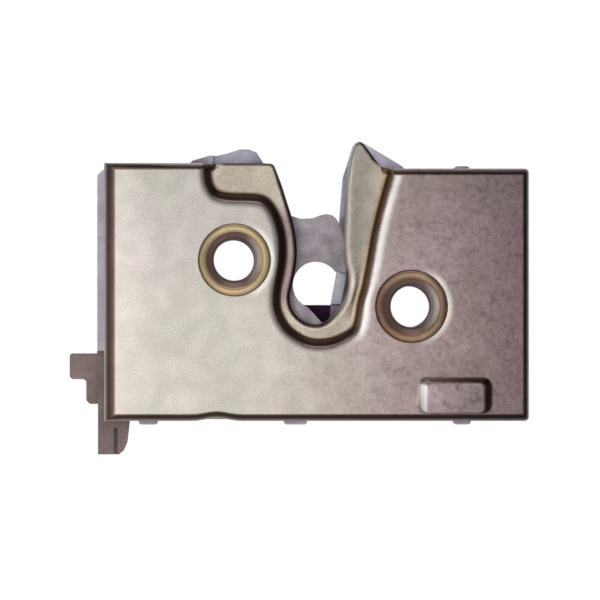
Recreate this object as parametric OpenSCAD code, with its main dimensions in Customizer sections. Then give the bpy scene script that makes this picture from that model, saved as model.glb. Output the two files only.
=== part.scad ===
// Car door lock of the rotary kind, latched on its striker pin.
// The origin is the centre of the striker pin, in the plane of the case's face.
// X points right, Y points into the door and Z points up.

/* [Case] */
// Width of the case over its side walls
case_w = 71; // [70.5:0.1:71.5]
// Height of the case, left of the mouth
case_h = 43.1; // [42.8:0.1:43.4]
// Drop of the top edge, right of the mouth
top_drop = 0.9; // [0.5:0.1:1.2]
// Height of the striker pin over the bottom edge
pin_h = 22.7; // [22.5:0.1:22.9]
// Depth from the face to the rear plate
case_d = 14; // [14:0.25:14.5]
// Thickness of the pressed sheet
sheet_t = 1.4; // [1.2:0.1:1.5]
// Outer radius of the folds
fold_r = 1.3; // [0.8:0.1:1.5]
// Depth of the recess round the mouth
recess_d = 2; // [1.5:0.1:2.2]
// Width of the sloping wall round the recess
slope_w = 1.9; // [1.5:0.1:2.1]
// Height of the raised boss
boss_h = 1.2; // [0.8:0.1:1.5]

/* [Bushes] */
// Fork bush, distance left of the striker pin
fork_left = 13.75; // [13.6:0.05:13.9]
// Fork bush, height over the striker pin
fork_up = 4.17; // [4.1:0.01:4.25]
// Pawl bush, distance right of the striker pin
pawl_right = 15.77; // [15.6:0.01:15.9]
// Pawl bush, distance below the striker pin
pawl_down = 3.57; // [3.5:0.01:3.65]
// Core diameter of the M8 thread in each bush
thread_core_d = 6.8; // [6.6:0.1:7]
// Diameter of a bush where its lever turns on it
bush_d = 11; // [10.8:0.1:11]
// Diameter of the rounded collar on the face
collar_d = 11.9; // [11.8:0.1:12.4]

/* [Fork and pawl] */
// Reach of the fork's jaws from its axis
fork_r = 18.8; // [18.6:0.1:18.9]
// Radius of the seat for the striker pin
seat_r = 3.95; // [3.8:0.05:4]
// Radius of the fork's ratchet
ratchet_r = 12.6; // [12.4:0.1:12.7]
// Thickness of the fork and of the pawl
fork_t = 5; // [4.5:0.1:5]
// Gap between a lever's bore and its bush, all round
running_gap = 0.05; // [0.02:0.01:0.08]

/* [Levers] */
// Thickness of the levers behind the case
lever_t = 1.8; // [1.6:0.1:1.8]
// Diameter of the pin riveted in the pawl
pawl_pin_d = 4.4; // [4.2:0.1:4.4]
// Diameter of each eye for a rod
rod_eye_d = 4.5; // [4:0.1:4.8]

/* [Springs] */
// Wire of the fork's spring
fork_wire = 1.5; // [1.2:0.1:1.5]
// Wire of the pawl's spring
pawl_wire = 1.2; // [1:0.1:1.3]
// Wire of the release spring
release_wire = 0.9; // [0.7:0.1:1]
// Wire of the lock lever's spring
lock_wire = 1; // [0.8:0.1:1.1]

/* [Hidden] */
$fn = 64;

// Colours, as the photo shows them
yellow_zinc = [0.74, 0.70, 0.64];
clear_zinc = [0.62, 0.62, 0.70];
gold = [0.78, 0.64, 0.36];
copper = [0.66, 0.48, 0.32];
sintered = [0.52, 0.48, 0.52];
lever_zinc = [0.50, 0.42, 0.40];
rubber_black = [0.10, 0.08, 0.14];
nylon = [0.85, 0.84, 0.78];
spring_steel = [0.45, 0.45, 0.47];
bright_steel = [0.70, 0.69, 0.66];

// Planes of the case, from its driving sizes
x_side = case_w / 2;
z_floor = -pin_h;
z_left = case_h - pin_h;
z_right = z_left - top_drop;
y_back = case_d + sheet_t;
fork_at = [-fork_left, fork_up];
pawl_at = [pawl_right, -pawl_down];

// Depths of the fork and pawl, and of the layers of levers behind the case
fork_y = recess_d + sheet_t + 0.8;
fork_back = fork_y + fork_t;
transfer_y = y_back + 1.2;
release_y = transfer_y + lever_t + 0.5;
lock_y = release_y + lever_t + 2.1;

// Pivots of the levers: the release pair, the lock lever, and the dog between them
release_at = [-22, -14.5];
dog_r = 11;
dog_travel = 3.5;
// the windows run a little past the dog's travel
dog_low_r = dog_r - dog_travel - 0.3;
dog_d = 3.6;
dog_at = release_at + [0, dog_r];
lock_at = [-31.5, dog_at[1]];
pawl_pin_at = [-1, -13];
pawl_shank_d = 2.8;
pawl_turn = 22.4;

// Sizes that the rivets, posts and levers share
pivot_shank_d = 5;
pivot_d = 7;
post_d = 3;
lever_hub_r = 6;
lever_neck_w = 7.2;

// Reach of a cut past the faces that it goes through
over = 1;
// Gap left between pieces that are held face to face
fit_gap = 0.05;

// Edge of the recess, from the pad's top left, round the mouth, to the top right
recess_edge = [
    [-16.6, 19.7], [-16.6, 15.3], [-8, 15.3], [-6.6, 13.4], [-5.6, 9.6], [-4.2, 5.6], [-4.3, 2.6],
    [-5.5, -1.4], [-5.5, -5], [-3.3, -8], [0.4, -9.7], [4.2, -8.2], [6.3, -6.6], [6.6, -2.4],
    [8.1, 2.6], [8.7, 8], [10.4, 12.4], [11.9, 19.6],
];
// Edge of the mouth, from the foot of the ear, down, round the bottom and up the left side
mouth_edge = [
    [5.6, 21.4], [4.9, 17.6], [4.7, 12.4], [4.4, 7.8], [4.7, 3], [5.4, 1.6], [5.1, -1.4], [3.1, -4.5],
    [1.1, -6.6], [-1.8, -6.8], [-4.1, -4.8], [-4.7, -1.9], [-3.6, 1.6], [-2.9, 5.2], [-3.5, 9],
    [-4.9, 14], [-7, 20.1],
];
// Top of the ear, from the case's top edge to the foot of the ear
ear_edge = [[11.3, 19.5], [10.3, 20.3], [9.3, 22.1], [8, 24], [6.6, 24.1], [6, 23.3]];

function unit(v) = v / norm(v);

// Cuts the corners of an open line once, and keeps its two ends
function cut_corners(p) = [
    p[0],
    for (i = [0:len(p) - 2])
        for (s = [0.25, 0.75])
            p[i] * (1 - s) + p[i + 1] * s,
    p[len(p) - 1],
];

// Moves an open line sideways, to the right of the way it runs
function shifted(p, w) = [
    for (i = [0:len(p) - 1])
        let(d = unit(p[min(i + 1, len(p) - 1)] - p[max(i - 1, 0)]))
            p[i] + w * [d[1], -d[0]]
];

recess_line = cut_corners(recess_edge);
mouth_line = cut_corners(mouth_edge);

function arc(c, r, from, to, steps) = [
    for (i = [0:steps])
        c + r * [cos(from + (to - from) * i / steps), sin(from + (to - from) * i / steps)]
];

// A plate drawn in X and Z, from depth y0 to depth y1
module plate(y0, y1) {
    translate([0, y1, 0])
        rotate([90, 0, 0])
            linear_extrude(y1 - y0)
                children();
}

// A turned piece on an axis along Y, drawn as radius and depth
module turned(at) {
    translate([at[0], 0, at[1]])
        rotate([-90, 0, 0])
            rotate_extrude()
                children();
}

// A round rod or hole along Y
module rod(at, d, y0, y1) {
    translate([at[0], y1, at[1]])
        rotate([90, 0, 0])
            cylinder(d = d, h = y1 - y0);
}

// A strip with round ends through a list of points
module strap(points, w) {
    for (p = points)
        translate(p) circle(d = w);
    for (i = [0:len(points) - 2])
        let(d = points[i + 1] - points[i])
            translate(points[i])
                rotate(atan2(d[1], d[0]))
                    translate([0, -w / 2]) square([norm(d), w]);
}

// A block with its front edges and its four long edges rounded
module folded_block(x0, x1, z0, z1, y0, y1, r) {
    w = x1 - x0;
    h = z1 - z0;
    translate([x0 + r, y0, z0 + r]) cube([w - 2 * r, y1 - y0, h - 2 * r]);
    translate([x0, y0 + r, z0 + r]) cube([w, y1 - y0 - r, h - 2 * r]);
    translate([x0 + r, y0 + r, z0]) cube([w - 2 * r, y1 - y0 - r, h]);
    for (x = [x0 + r, x1 - r]) {
        translate([x, y0 + r, z0 + r]) cylinder(r = r, h = h - 2 * r);
        for (z = [z0 + r, z1 - r]) {
            translate([x, y0 + r, z]) sphere(r = r);
            rod([x, z], 2 * r, y0 + r, y1);
        }
    }
    for (z = [z0 + r, z1 - r])
        translate([x0 + r, y0 + r, z])
            rotate([0, 90, 0])
                cylinder(r = r, h = w - 2 * r);
}

// The case's outer or inner form: its top edge is lower right of the mouth
module case_form(inset, y0, y1, r) {
    lap = 4;
    folded_block(-x_side + inset, lap, z_floor + inset, z_left - inset, y0, y1, r);
    folded_block(-lap, x_side - inset, z_floor + inset, z_right - inset, y0, y1, r);
}

// The sloping wall between the face and the recess, as rings of points along the recess's edge
module slope_wall() {
    n = len(recess_line);
    steps = 4;
    lap = 0.35;
    skin_gap = 0.02;
    rings = [
        [slope_w + lap, 0],
        for (k = [0:steps])
            let(t = k / steps)
                [slope_w * (1 - t), recess_d * t * t * (3 - 2 * t)],
        [-lap, recess_d],
    ];
    m = len(rings);
    points = [
        for (skin = [skin_gap, sheet_t - skin_gap])
            for (ring = rings)
                let(line = shifted(recess_line, ring[0]))
                    for (p = line)
                        [p[0], ring[1] + skin, p[1]]
    ];
    inner = m * n;
    faces = [
        for (j = [0:m - 2])
            for (i = [0:n - 2])
                let(a = j * n + i, b = a + 1, c = a + n + 1, d = a + n)
                    each [[a, c, b], [a, d, c], [inner + a, inner + b, inner + c],
                        [inner + a, inner + c, inner + d]],
        for (i = [0:n - 2])
            let(e = (m - 1) * n + i)
                each [[i, inner + i + 1, inner + i], [i, i + 1, inner + i + 1],
                    [e, inner + e + 1, e + 1], [e, inner + e, inner + e + 1]],
        for (j = [0:m - 2])
            let(a = j * n, e = j * n + n - 1)
                each [[a, inner + a + n, a + n], [a, inner + a, inner + a + n],
                    [e, inner + e + n, inner + e], [e, e + n, inner + e + n]],
    ];
    polyhedron(points, faces, convexity = 10);
}

// The recessed sheet: the pad, the rim round the mouth, and the ear
module rim_sheet() {
    plate(recess_d, recess_d + sheet_t)
        polygon(concat([[-16.6, 20.3]], recess_line, ear_edge, mouth_line, [[-7.1, 20.4], [-16.2, 20.4]]));
}

// The raised boss at the bottom right, open behind
module boss(inset) {
    hull() {
        plate(0, 0.1) boss_outline(23.2, -18.2, 12 - 2 * inset, 5.9 - 2 * inset, 2.2 - inset);
        plate(-boss_h + inset - 0.1, -boss_h + inset)
            boss_outline(23.1, -18.5, 9 - 2 * inset, 4.4 - 2 * inset, 1.4 - inset / 2);
    }
}

module boss_outline(x, z, w, h, r) {
    for (sx = [-1, 1])
        for (sz = [-1, 1])
            translate([x + sx * (w / 2 - r), z + sz * (h / 2 - r)])
                circle(r = r, $fn = 32);
}

module front_cover() {
    // gap in the case's top wall over the mouth, the pad and the ear
    top_gap = [-18.9, 13.9];
    gap_h = 8;
    gap_z = z_right - sheet_t - 1.2;
    face_cut = concat([[-18.6, 30]], shifted(recess_line, slope_w), [[13.8, 30]]);
    color(yellow_zinc)
        difference() {
            union() {
                difference() {
                    case_form(0, 0, case_d, fold_r);
                    case_form(sheet_t, sheet_t, case_d + over, 0.4);
                    plate(-over, sheet_t + over) polygon(face_cut);
                    translate([top_gap[0], -over, gap_z])
                        cube([top_gap[1] - top_gap[0], case_d + 2 * over, gap_h]);
                }
                slope_wall();
                rim_sheet();
                boss(0);
            }
            boss_hollow();
            for (at = [fork_at, pawl_at])
                rod(at, bush_d + 2 * fit_gap, -over, sheet_t + over);
        }
}

// The hollow behind the boss, that runs into the case
module boss_hollow() {
    hull() {
        plate(-boss_h + sheet_t - 0.2, -boss_h + sheet_t)
            boss_outline(23.1, -18.5, 7, 2.6, 0.6);
        plate(sheet_t + 0.1, sheet_t + 0.2)
            boss_outline(23.1, -18.2, 9.6, 3.6, 1);
    }
}

// Edge of the rear plate's mouth, from the top right down and up the left side
rear_mouth = [
    [6.3, 23.4], [4.6, 18], [4.1, 12], [3.9, 8], [3.6, 2.4], [2.6, -3.2], [2.2, -6.6], [-3.4, -6.6],
    [-4.9, -4], [-5, 2], [-5.3, 9], [-6.3, 15], [-8.6, 20.4],
];
// Lip that stands forward from the right side of the rear mouth
lip_w = 1.7;
lip_y = fork_back + 0.9;

module rear_plate() {
    tabs_below = [[-29.7, -26.5], [-5.3, -1.5], [23.2, 26]];
    tab_t = 0.6;
    tab_y = 9;
    // the tab over the top
    top_tab_x = 23.3;
    top_tab_w = 2.5;
    top_tab_t = 0.45;
    tail_hole_d = 9.6;
    outline = concat(
        [[-x_side - 1.2, -11], [-x_side - 1.2, 18.5], [-x_side - 0.3, 19.4], [-21.6, 20.1]],
        [[-20.7, 21], [-17.7, 21.9], [-16.7, 21.8], [-14.9, 22.2], [-12.7, 22.9], [-11.2, 22.9],
            [-9.9, 22.4], [-8.6, 20.4]],
        [for (i = [len(rear_mouth) - 2:-1:0]) rear_mouth[i]],
        [[6.8, 24], [8.3, 23.9], [14.6, 20.1], [15.4, z_right - 0.2], [x_side - 0.2, z_right - 0.2]],
        [[x_side - 0.2, z_floor + 0.2], [-x_side + 0.2, z_floor + 0.2], [-x_side + 0.2, -11]]);
    color(clear_zinc)
        difference() {
            union() {
                plate(case_d + fit_gap, y_back) polygon(outline);
                // flange turned back along the left edge
                translate([-x_side - 1.2, y_back - 0.1, -5.5]) cube([sheet_t, 5.6, 22]);
                // guide lip in the mouth
                plate(lip_y, y_back)
                    polygon(concat(
                        [for (i = [1:5]) rear_mouth[i]],
                        [for (i = [5:-1:1]) rear_mouth[i] + [lip_w, 0]]));
                // tabs folded forward under the case's floor and over its top
                for (t = tabs_below)
                    translate([t[0], tab_y, z_floor - fit_gap - tab_t])
                        cube([t[1] - t[0], y_back - tab_y, tab_t]);
                for (t = tabs_below)
                    translate([t[0], case_d + fit_gap, z_floor - tab_t])
                        cube([t[1] - t[0], sheet_t - fit_gap, tab_t + 1]);
                translate([top_tab_x, tab_y, z_right + fit_gap])
                    cube([top_tab_w, y_back - tab_y, top_tab_t]);
                translate([top_tab_x, case_d + fit_gap, z_right - 1])
                    cube([top_tab_w, sheet_t - fit_gap, 1 + top_tab_t]);
                // hook for the release spring
                translate([7.6, y_back - 0.1, -20.8]) cube([3.4, 1.3, 3]);
            }
            for (at = [fork_at, pawl_at])
                rod(at, tail_hole_d, case_d - over, y_back + over);
            for (at = [release_at, lock_at])
                rod(at, pivot_shank_d + 2 * fit_gap, case_d - over, y_back + over);
            for (at = [stop_at, stud_at])
                rod(at, post_d + 2 * fit_gap, case_d - over, y_back + over);
            rod(anchor_at, post_d + 2 * fit_gap, case_d - over, y_back + 5);
            // arc slot for the pawl's pin
            plate(case_d - over, y_back + over)
                pin_slot(pawl_pin_d + 1);
        }
}

// Where the rubber stop, the lock spring's stud and the release spring's anchor stand
stop_at = [-20.8, 14.9];
stud_at = [-16.4, 17.4];
anchor_at = [9.3, -19.2];

module pin_slot(w) {
    reach = norm(pawl_pin_at - pawl_at);
    from = atan2(pawl_pin_at[1] - pawl_at[1], pawl_pin_at[0] - pawl_at[0]);
    strap(arc(pawl_at, reach, from, from + pawl_turn, 4), w);
}

// A threaded bush: rounded collar, shoulder for the rear plate, riveted end
module bush(at) {
    core = thread_core_d / 2;
    body = bush_d / 2;
    collar = collar_d / 2;
    collar_h = 0.7;
    lead_in = 1.2;
    tail_r = 4.75;
    tail_h = 1;
    turned(at)
        difference() {
            union() {
                translate([0, -collar_h]) square([collar - collar_h, collar_h + 0.1]);
                translate([collar - collar_h, 0])
                    intersection() {
                        circle(r = collar_h);
                        translate([0, -collar_h]) square([collar_h, collar_h]);
                    }
                square([body, case_d]);
                square([tail_r, y_back + tail_h]);
                translate([0, y_back + fit_gap])
                    polygon([[0, 0], [6.2, 0], [6.2, 0.3], [5.2, tail_h], [0, tail_h]]);
            }
            translate([-over, -over - collar_h]) square([over + core, y_back + 5]);
            polygon([[core - 0.1, lead_in + 0.1], [core + lead_in, 0],
                [core + lead_in + 0.4, -collar_h - 0.2], [core - 0.1, -collar_h - 0.2]]);
        }
}

module fork_bush() {
    color(gold) bush(fork_at);
}

module pawl_bush() {
    color(copper) bush(pawl_at);
}

// Rubber block across the bottom of the mouth, with a tongue through the rear plate
module striker_buffer() {
    color(rubber_black) {
        plate(fork_back + 1.1, case_d)
            polygon([[-5.4, -3.3], [2.5, -3.3], [2.3, -5.6], [4.4, -5.6], [4.4, -8.8], [-5.4, -8.8]]);
        plate(case_d, y_back)
            polygon([[-4.2, -3.3], [2.5, -3.3], [2.1, -6.5], [-3.2, -6.5], [-4.5, -4.4]]);
    }
}

module fork_bolt() {
    // outer bounds of the jaws, cut to a round reach
    jaws = [
        [-13.75, 13.37], [-12.5, 13.3], [-3.9, 11.5], [-2.7, 11.1], [-0.6, 11.2], [0.7, 11.7], [1.7, 11.9],
        [2.6, 11.7], [3.25, 11.2], [3.9, 10.2], [5, 7.5], [9, 4], [9, -14], [-1.6, -9.7], [-3, -9.2],
        [-7.3, -3.6], [-9.6, -2.2],
    ];
    // opening between the jaws, from the pin's seat outwards
    opening = [[-3.7, 0.6], [-3.6, 0.1], [-1.85, -3.2], [0.87, -6.2], [3, -9], [9, -9], [9, 1.6], [5, 2.05],
        [3.35, 2.3], [0, 0]];
    full_tooth = -70.6;
    half_tooth = -102;
    notch = 2.2;
    heel_r = 9.4;
    hub_r = 9.2;
    color(sintered)
        difference() {
            plate(fork_y, fork_back)
                difference() {
                    union() {
                        translate(fork_at) circle(r = hub_r);
                        intersection() {
                            translate(fork_at) circle(r = fork_r);
                            polygon(jaws);
                        }
                        // ratchet: a round sector with its full and half teeth
                        polygon(concat(
                            [fork_at],
                            arc(fork_at, ratchet_r, -165, half_tooth, 8),
                            arc(fork_at, ratchet_r - notch, half_tooth - 1, half_tooth + 13, 2),
                            arc(fork_at, ratchet_r, half_tooth + 21, full_tooth, 3),
                            [fork_at + heel_r * [cos(full_tooth + 1), sin(full_tooth + 1)]]));
                    }
                    polygon(opening);
                    circle(r = seat_r);
                }
            rod(fork_at, bush_d + 2 * running_gap, fork_y - over, fork_back + over);
            rod([-8.2, 9.4], fork_wire + 0.4, fork_y - over, fork_back + over);
        }
}

module pawl() {
    hub_d = 16.8;
    color(lever_zinc)
        difference() {
            union() {
                rod(pawl_at, hub_d, fork_y, fork_back);
                plate(fork_y, fork_back)
                    polygon([
                        [19, -10], [16.5, -12.8], [10, -14.9], [2, -15.5], [-2.2, -15], [-8.7, -12.1],
                        [-9.4, -11], [-9.3, -9.3], [-8.6, -6.6], [-7.6, -6.1], [-6.6, -6.7],
                        [-5.6, -8.9], [-4.2, -10.5],
                        [-2.2, -11], [2, -9.9], [9.6, -6.9],
                    ]);
            }
            rod(pawl_at, bush_d + 2 * running_gap, fork_y - over, fork_back + over);
            rod(pawl_pin_at, pawl_shank_d + 2 * fit_gap, fork_y - over, fork_back + over);
        }
}

// Shouldered pin riveted in the pawl, through the rear plate to the transfer lever
module pawl_pin() {
    color(bright_steel) {
        rod(pawl_pin_at, pawl_shank_d, fork_y - 0.5, fork_back + 1);
        rod(pawl_pin_at, 4, fork_y - 0.9, fork_y - fit_gap);
        rod(pawl_pin_at, pawl_pin_d, fork_back + fit_gap, transfer_y + lever_t + 0.2);
    }
}

// A plastic ring between the cover and a piece that turns on a bush
module spacer(at, d) {
    color(nylon)
        difference() {
            rod(at, d, sheet_t + fit_gap, fork_y - fit_gap);
            rod(at, bush_d + 2 * fit_gap, 0, fork_y + over);
        }
}

module fork_washer() {
    spacer(fork_at, 14.6);
}

module pawl_washer() {
    spacer(pawl_at, 14.2);
}

// Rubber sleeve on a post, where the open fork comes to rest
module fork_stop() {
    color(rubber_black) {
        rod(stop_at, 4.4, sheet_t + fit_gap, case_d - fit_gap);
        rod(stop_at, post_d, case_d - 0.5, y_back);
    }
}

// Directions along a line of points in space
function heading(p, i) = unit(p[min(i + 1, len(p) - 1)] - p[max(i - 1, 0)]);

// One side direction for each point, carried along the line without twist
function sides(p, i, side, done) =
    i == len(p) ? done
    : let(t = heading(p, i), s = unit(side - (side * t) * t))
        sides(p, i + 1, s, concat(done, [s]));

// A round wire along a line of points in space
module wire(p, d, side) {
    n = 8;
    s = sides(p, 0, side, []);
    points = [
        for (i = [0:len(p) - 1])
            let(t = heading(p, i), u = s[i], v = cross(t, u))
                for (k = [0:n - 1])
                    p[i] + d / 2 * (cos(360 * k / n) * u + sin(360 * k / n) * v)
    ];
    last = (len(p) - 1) * n;
    faces = [
        [for (k = [0:n - 1]) k],
        [for (k = [n - 1:-1:0]) last + k],
        for (i = [0:len(p) - 2])
            for (k = [0:n - 1])
                let(a = i * n + k, b = i * n + (k + 1) % n)
                    [a, a + n, b + n, b],
    ];
    polyhedron(points, faces, convexity = 10);
}

// Points of a coil on an axis along Y
function coil(at, r, from, turns, y0, y1) =
    let(steps = ceil(abs(turns) * 18))
        [for (i = [0:steps])
            let(a = from + 360 * turns * i / steps)
                [at[0] + r * cos(a), y0 + (y1 - y0) * i / steps, at[1] + r * sin(a)]];

// Torsion spring round the fork's bush, that turns the fork open
module fork_spring() {
    r = bush_d / 2 + fork_wire / 2 + 0.5;
    y0 = fork_back + fork_wire / 2 + 0.3;
    y1 = case_d - fork_wire / 2 - 0.2;
    turns = coil(fork_at, r, 60, 4 / 3, y0, y1);
    color(spring_steel)
        wire(concat([[-7.6, y0, 12.2]], turns, [[-20.4, y1, -3], [-18.8, y1, -8.6]]), fork_wire, [0, 1, 0]);
}

// Torsion spring round the pawl's bush, that lifts the pawl's nose
module pawl_spring() {
    r = bush_d / 2 + pawl_wire / 2 + 0.5;
    y0 = fork_back + pawl_wire / 2 + 0.3;
    y1 = case_d - pawl_wire / 2 - 0.2;
    turns = coil(pawl_at, r, -60, 2.25, y0, y1);
    color(spring_steel)
        wire(concat([[8.6, y0, -13.6]], turns, [[24, y1, 6], [30, y1, 9]]), pawl_wire, [0, 1, 0]);
}

module dog_window(r0, r1, w) {
    translate(release_at) strap([[0, r0], [0, r1]], w);
}

// Lever that pushes the pawl's pin down
module transfer_lever() {
    arm_z = [4, 6.7];
    color(lever_zinc)
        difference() {
            plate(transfer_y, transfer_y + lever_t)
                difference() {
                    union() {
                        translate(release_at) circle(r = lever_hub_r);
                        translate(release_at) strap([[0, 0], [0, dog_r]], lever_neck_w);
                        translate(release_at)
                            polygon([[-2, -5], [5, -3.6], [15, arm_z[0] - 0.6], [17.4, arm_z[0]],
                                [26.5, arm_z[0]], [27.4, arm_z[0] + 1], [26.8, arm_z[1]],
                                [6, arm_z[1] - 0.2], [0, 9]]);
                    }
                    dog_window(dog_low_r, dog_r, dog_d + 0.2);
                }
            rod(release_at, pivot_d + 2 * running_gap, transfer_y - over, transfer_y + lever_t + over);
        }
}

// Lever that the handle's rod moves: its folded leg hangs below the case
module release_lever() {
    leg = [-x_side - 1.1, -33.3, -31];
    leg_low = -28.5;
    leg_h = 5.6;
    flange_h = 16.6;
    fold_d = 3.4;
    lap = 0.4;
    seam_w = 0.6;
    free_w = dog_d + 0.2;
    free_to = 118;
    color(lever_zinc)
        difference() {
            union() {
                plate(release_y, release_y + lever_t)
                    difference() {
                        union() {
                            translate(release_at) circle(r = lever_hub_r);
                            translate(release_at) strap([[0, 0], [0, dog_r]], lever_neck_w);
                            polygon([
                                [-22, -5.5], [-25.6, -3.5], [-27.8, -5.3], [-28, -10.6], [-33.5, -11.8],
                                [leg[0], -11.9], [leg[0], -24], [leg[1], -24], [leg[1], leg_low],
                                [leg[2] - 2.1, leg_low], [leg[2] - 1.2, leg_low + 0.7],
                                [leg[2] - 0.6, leg_low + 2.1], [leg[2] - 0.2, -22.9],
                                [-28.4, -21.6], [-22, -20.6],
                            ]);
                            translate([-22, -19.8]) circle(r = 2.6);
                        }
                        dog_window(dog_low_r, dog_r, dog_d + 0.2);
                        // free part of the window, where the dog drives nothing
                        translate(release_at)
                            polygon(concat(
                                arc([0, 0], dog_low_r + free_w / 2, 90, free_to, 4),
                                arc([0, 0], dog_low_r - free_w / 2, free_to, 90, 4)));
                    }
                // left half of the leg, folded flat on itself, with its seam in front
                translate([leg[0], release_y, leg_low]) cube([lever_t, fold_d, flange_h]);
                translate([leg[0], release_y + fold_d - lever_t, leg_low])
                    cube([leg[1] - leg[0] + lap, lever_t, leg_h]);
                translate([leg[0], release_y, leg_low]) cube([leg[1] - seam_w - leg[0], lever_t, leg_h]);
                translate([leg[1], release_y, leg_low]) cube([lap, fold_d, leg_h]);
            }
            rod(release_at, pivot_d + 2 * running_gap, release_y - over, release_y + lever_t + over);
            rod([-28.4, -17], rod_eye_d, release_y - over, release_y + lever_t + over);
            rod([-22, -20.2], 1.6, release_y - over, release_y + lever_t + over);
        }
}

// Thin ring between the two levers on the release pivot
module lever_washer() {
    color(nylon)
        difference() {
            rod(release_at, 10.6, transfer_y + lever_t + fit_gap, release_y - fit_gap);
            rod(release_at, pivot_d + 2 * running_gap, transfer_y, release_y + over);
        }
}

// Shouldered rivet on which the release and transfer levers turn
module lever_pivot() {
    color(bright_steel) {
        rod(release_at, pivot_shank_d, case_d - 0.8, y_back);
        rod(release_at, 7.6, case_d - 0.9, case_d - fit_gap);
        rod(release_at, 9, y_back + fit_gap, transfer_y - fit_gap);
        rod(release_at, pivot_d, y_back, release_y + lever_t + 0.1);
        rod(release_at, 9.8, release_y + lever_t + 0.1, release_y + lever_t + 1.4);
    }
}

// Extension spring that draws the release lever back, with a hook at each end
module release_spring() {
    r = 1.75;
    turns = 10;
    steps = 12;
    from_x = -15;
    to_x = 4;
    y = release_y + lever_t / 2 + 2.4;
    z = anchor_at[1] - 0.3;
    lever_hook = [-22, release_y + lever_t + 0.8, -20.2];
    helix = [
        for (i = [0:turns * steps])
            let(t = i / steps)
                [from_x + (to_x - from_x) * t / turns, y + r * cos(360 * t), z + r * sin(360 * t)]
    ];
    color(spring_steel)
        wire(concat(
            [lever_hook, lever_hook + [1.2, 0.5, 0.1]],
            [[from_x - 3, y, z - 0.1], [from_x - 0.8, y + 1.2, z - 0.2]],
            helix,
            [[to_x + 0.8, y + 1, z], [to_x + 2.2, y, z], [anchor_at[0] - 1.6, y - 0.1, z]]),
            release_wire, [0, 0, 1]);
}

// Post on the rear plate that holds the fixed end of the release spring
module spring_anchor() {
    color(bright_steel) {
        rod(anchor_at, post_d, case_d, release_y + lever_t + 3.6);
        rod(anchor_at, 5, release_y + lever_t + 3.6, release_y + lever_t + 4.4);
    }
}

// Lever that locks: a tab beside the case, a window for the dog, and an eye for a rod
module lock_lever() {
    eye_at = lock_at + [1.5, 16];
    color(lever_zinc)
        difference() {
            plate(lock_y, lock_y + lever_t)
                difference() {
                    union() {
                        translate(lock_at) strap([[0, 0], [10.5, 0]], 10.4);
                        polygon([
                            lock_at + [-4, 0], lock_at + [4, 0], eye_at + [3.2, 0], eye_at + [-3.2, 0],
                        ]);
                        translate(eye_at) circle(r = 3.6);
                        polygon([
                            [-36, -6.5], [-36.8, -11.45], [-41.1, -11.45], [-41.4, -11.8], [-41.4, -15.4],
                            [-41, -15.8], [-39, -15.8], [-38.6, -16.2], [-38.6, -19.4], [-38, -20],
                            [-34.4, -20], [-33.4, -14], [-28, -9.5],
                        ]);
                    }
                    translate(lock_at) strap([[9.5, 0.2], [12.4, 0.2]], dog_d + 2);
                }
            rod(lock_at, pivot_d + 2 * running_gap, lock_y - over, lock_y + lever_t + over);
            rod(eye_at, rod_eye_d, lock_y - over, lock_y + lever_t + over);
            rod(lock_at + [1.5, 8.6], lock_wire + 0.5, lock_y - over, lock_y + lever_t + over);
        }
}

// Shouldered rivet on which the lock lever turns
module lock_pivot() {
    color(bright_steel) {
        rod(lock_at, pivot_shank_d, case_d + 0.1, lock_y);
        rod(lock_at, pivot_d, lock_y - 0.1, lock_y + lever_t + 0.1);
        rod(lock_at, 10, lock_y + lever_t + 0.1, lock_y + lever_t + 1.3);
    }
}

// Spacer between the rear plate and the lock lever
module lock_collar() {
    color(bright_steel)
        difference() {
            rod(lock_at, 6.9, y_back + fit_gap, lock_y - 0.15);
            rod(lock_at, pivot_shank_d + 2 * fit_gap, case_d, lock_y + over);
        }
}

// Pin that slides in the levers' windows and joins the two levers
module lock_dog() {
    color(nylon) {
        rod(dog_at, dog_d, transfer_y + 0.1, lock_y + lever_t + 0.2);
        rod(dog_at, 6.8, lock_y + lever_t + 0.2, lock_y + lever_t + 1.2);
        rod(dog_at, 4.4, release_y + lever_t + 0.1, release_y + lever_t + 0.9);
    }
}

// Over-centre spring that holds the lock lever at either end of its travel
module lock_spring() {
    at = [-24.6, 12.4];
    r = 2.8;
    y0 = lock_y - 2.1;
    y1 = lock_y - 0.7;
    color(spring_steel)
        wire(concat([[stud_at[0] - 2.2, y0, stud_at[1] + 0.4]], coil(at, r, 100, 1.35, y0, y1),
            [[-29.6, y1, 5.2]]), lock_wire, [0, 1, 0]);
}

// Stud on the rear plate that holds the fixed end of the lock spring
module spring_stud() {
    color(bright_steel) {
        rod(stud_at, post_d, case_d, lock_y - 1.2);
        rod(stud_at, 4.6, lock_y - 1.2, lock_y - 0.5);
    }
}

front_cover();
rear_plate();
fork_bush();
pawl_bush();
striker_buffer();
fork_bolt();
fork_spring();
fork_washer();
fork_stop();
pawl();
pawl_pin();
pawl_spring();
pawl_washer();
transfer_lever();
lever_washer();
release_lever();
lever_pivot();
release_spring();
spring_anchor();
lock_lever();
lock_pivot();
lock_collar();
lock_dog();
lock_spring();
spring_stud();
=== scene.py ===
# %% [markdown]
# A car door lock of the rotary kind, dressed for its portrait. The construction is loaded as a
# fixed frame in metres: X to the right, Y into the door and Z up, with the origin at the striker
# pin. This script gives every piece its finish, and remakes the pressed cover as thin sheet,
# because its soft bends are what the eye reads first.

from math import cos, pi, radians, sin

import bmesh
import bpy
from mathutils import Matrix, Vector


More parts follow.
